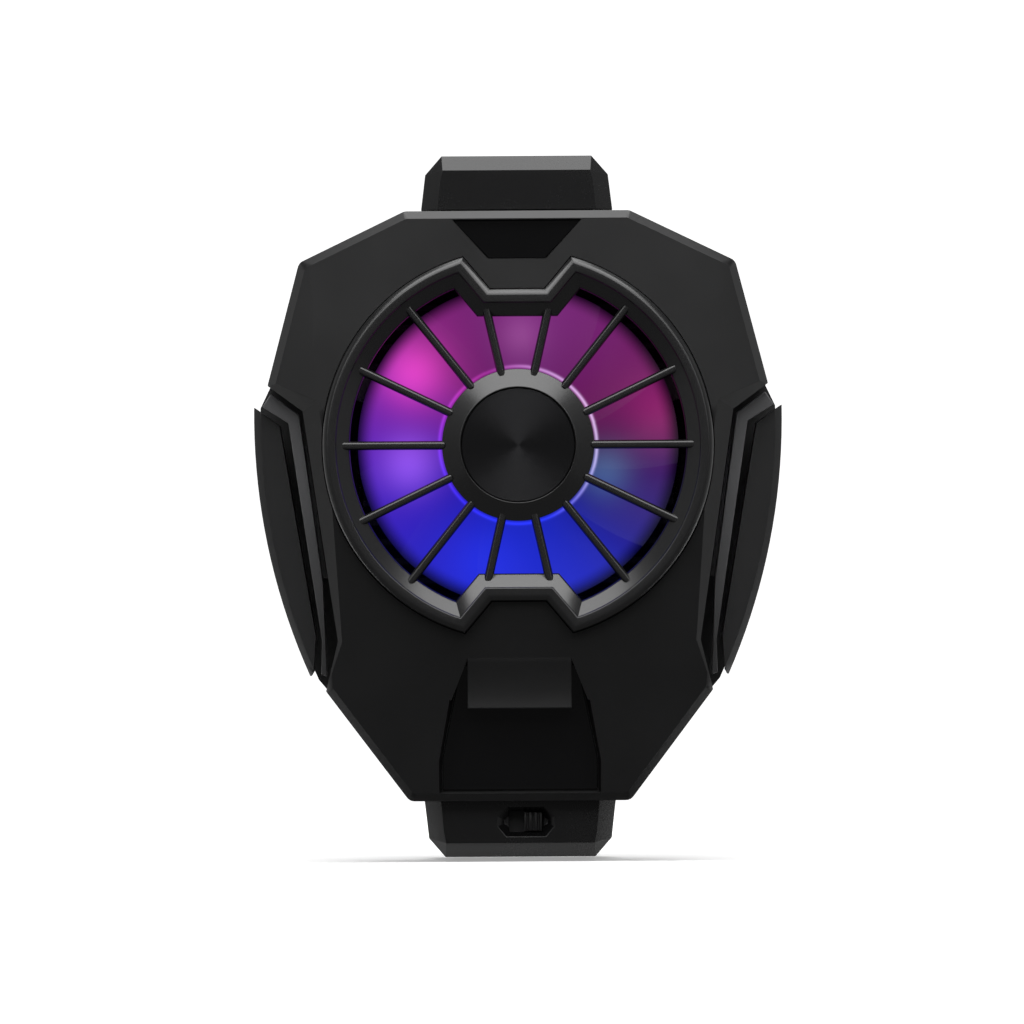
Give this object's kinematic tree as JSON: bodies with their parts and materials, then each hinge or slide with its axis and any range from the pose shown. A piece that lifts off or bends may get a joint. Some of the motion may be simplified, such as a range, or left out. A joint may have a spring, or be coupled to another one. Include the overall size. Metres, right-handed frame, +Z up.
{
  "type": "phone cooling fan",
  "caption": "Clip-on phone cooler: faceted dark case with a lit fan behind a round spoked guard, stand-off side wings, a cold plate at the back and a sprung upper jaw.",
  "frame": {"origin": "the point of the contact pad's face on the fan axis, where the phone's back rests", "axes": "+Z up, towards the sprung jaw; -Y towards the viewer, along the fan axis; +X to the viewer's right"},
  "size_m": [0.056, 0.0344, 0.0744],
  "materials": {
    "cover": "satin",
    "guard": "satin",
    "rear": "satin",
    "jaw": "satin",
    "wing": "satin",
    "trim": "satin",
    "gloss_black": "gloss",
    "cap": "circular brushed",
    "soft": "matt",
    "pad": "matt",
    "steel": "plain",
    "alu": "satin",
    "ceramic": "matt",
    "pellet": "matt",
    "foam": "matt",
    "lead": "satin",
    "frame": "matt",
    "bronze": "sintered",
    "iron": "laminated",
    "copper": "enamelled",
    "board": "satin",
    "dark_board": "satin",
    "lit": "frosted, lit from its rim",
    "magnet": "matt",
    "lamp": "clear",
    "chip": "matt"
  },
  "bodies": {
    "case": {"front_cover": "cover", "fan_guard": "guard", "hub_cap": "cap", "top_inlay": "gloss_black", "channel_inlay": "gloss_black", "hood": "cover", "wing_left": "wing", "wing_right": "wing", "trim_left": "trim", "trim_right": "trim", "rear_cover": "rear", "lower_jaw": "jaw", "lower_jaw_pad": "soft", "spring_left": "steel", "spring_right": "steel", "arm_keeper": "steel", "arm_screw": "steel", "contact_pad": "pad", "cold_plate": "alu", "peltier_cold_face": "ceramic", "peltier_pellets": "pellet", "peltier_hot_face": "ceramic", "foam_frame": "foam", "peltier_leads": "lead", "heat_sink": "alu", "clamp_screws": "steel", "fan_frame": "frame", "bearing": "bronze", "stator_core": "iron", "stator_windings": "copper", "motor_board": "board", "lamp_board": "dark_board", "lamps": "lamp", "main_board": "board", "board_components": "chip", "board_screws": "steel", "usb_socket": "steel", "usb_tongue": "chip", "slide_switch": "steel", "case_screws": "steel", "fan_screws": "steel", "jaw_screws": "steel"},
    "jaw": {"upper_jaw": "jaw", "upper_jaw_pad": "soft"},
    "rotor": {"impeller": "lit", "rotor_yoke": "steel", "magnet_ring": "magnet", "shaft": "steel", "shaft_clip": "steel"},
    "switch": {"switch_knob": "chip"}
  },
  "joints": [
    {"name": "fan_spin", "type": "hinge", "parent": "case", "child": "rotor", "pos_m": [0, -0.017, 0], "axis": [0, -1, 0], "continuous": true},
    {"name": "jaw_slide", "type": "slide", "parent": "case", "child": "jaw", "axis": [0, 0, 1], "range_m": [0, 0.014], "stiffness_N_per_m": 250, "springref_m": -0.012, "deforming": ["spring_left", "spring_right"]},
    {"name": "switch_slide", "type": "slide", "parent": "case", "child": "switch", "axis": [-1, 0, 0], "range_m": [0, 0.0015]}
  ]
}
